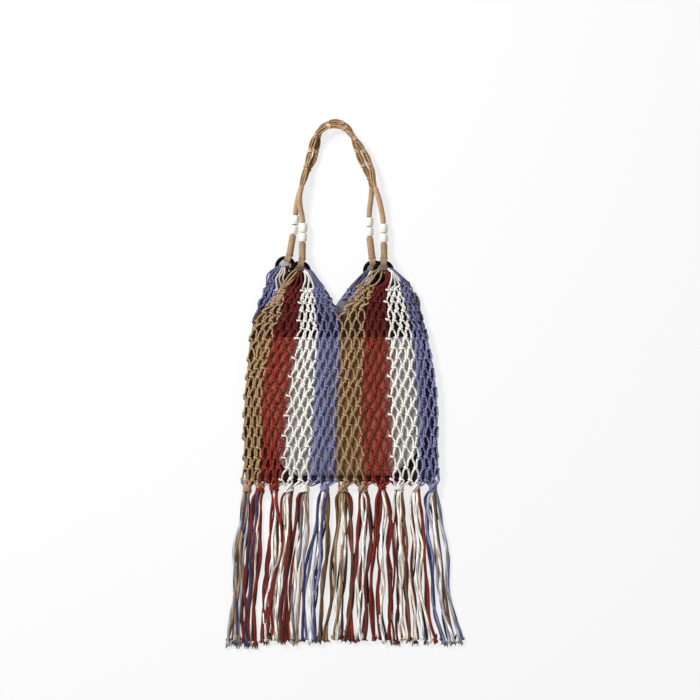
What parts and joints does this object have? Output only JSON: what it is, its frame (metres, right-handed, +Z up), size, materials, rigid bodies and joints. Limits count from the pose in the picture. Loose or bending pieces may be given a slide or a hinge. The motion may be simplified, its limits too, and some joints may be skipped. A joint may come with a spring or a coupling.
{
  "type": "net shoulder bag",
  "caption": "Flat knotted net shoulder bag in coloured cord stripes, with two beaded cord handles on black rings, a dark lining and a long cord fringe, lying on its back.",
  "frame": {"origin": "middle of the flat back face that the bag rests on, under the net's body", "axes": "+X to the right of a viewer looking down on the front, +Y from the fringe to the handles, +Z up out of the front"},
  "size_m": [0.385, 0.8718, 0.0258],
  "materials": {
    "net_cord": "3 mm cotton cord in tan, rust red, white and periwinkle blue stripes",
    "lining_dark": "thin charcoal woven lining",
    "lining_grey": "thin mid-grey woven panel",
    "ring": "smooth black",
    "handle_cord": "whipped tan waxed cord",
    "bead": "turned barrel bead, painted off-white, satin"
  },
  "bodies": {
    "root": {"net_body": "net_cord", "fringe": "net_cord", "lining_back": "lining_dark", "lining_front": "lining_grey", "ring_front_left": "ring", "ring_front_right": "ring", "ring_back_left": "ring", "ring_back_right": "ring", "handle_front": "handle_cord", "handle_back": "handle_cord", "bead_front_1": "bead", "bead_front_2": "bead", "bead_front_3": "bead", "bead_front_4": "bead", "bead_back_1": "bead", "bead_back_2": "bead", "bead_back_3": "bead", "bead_back_4": "bead"}
  },
  "joints": []
}
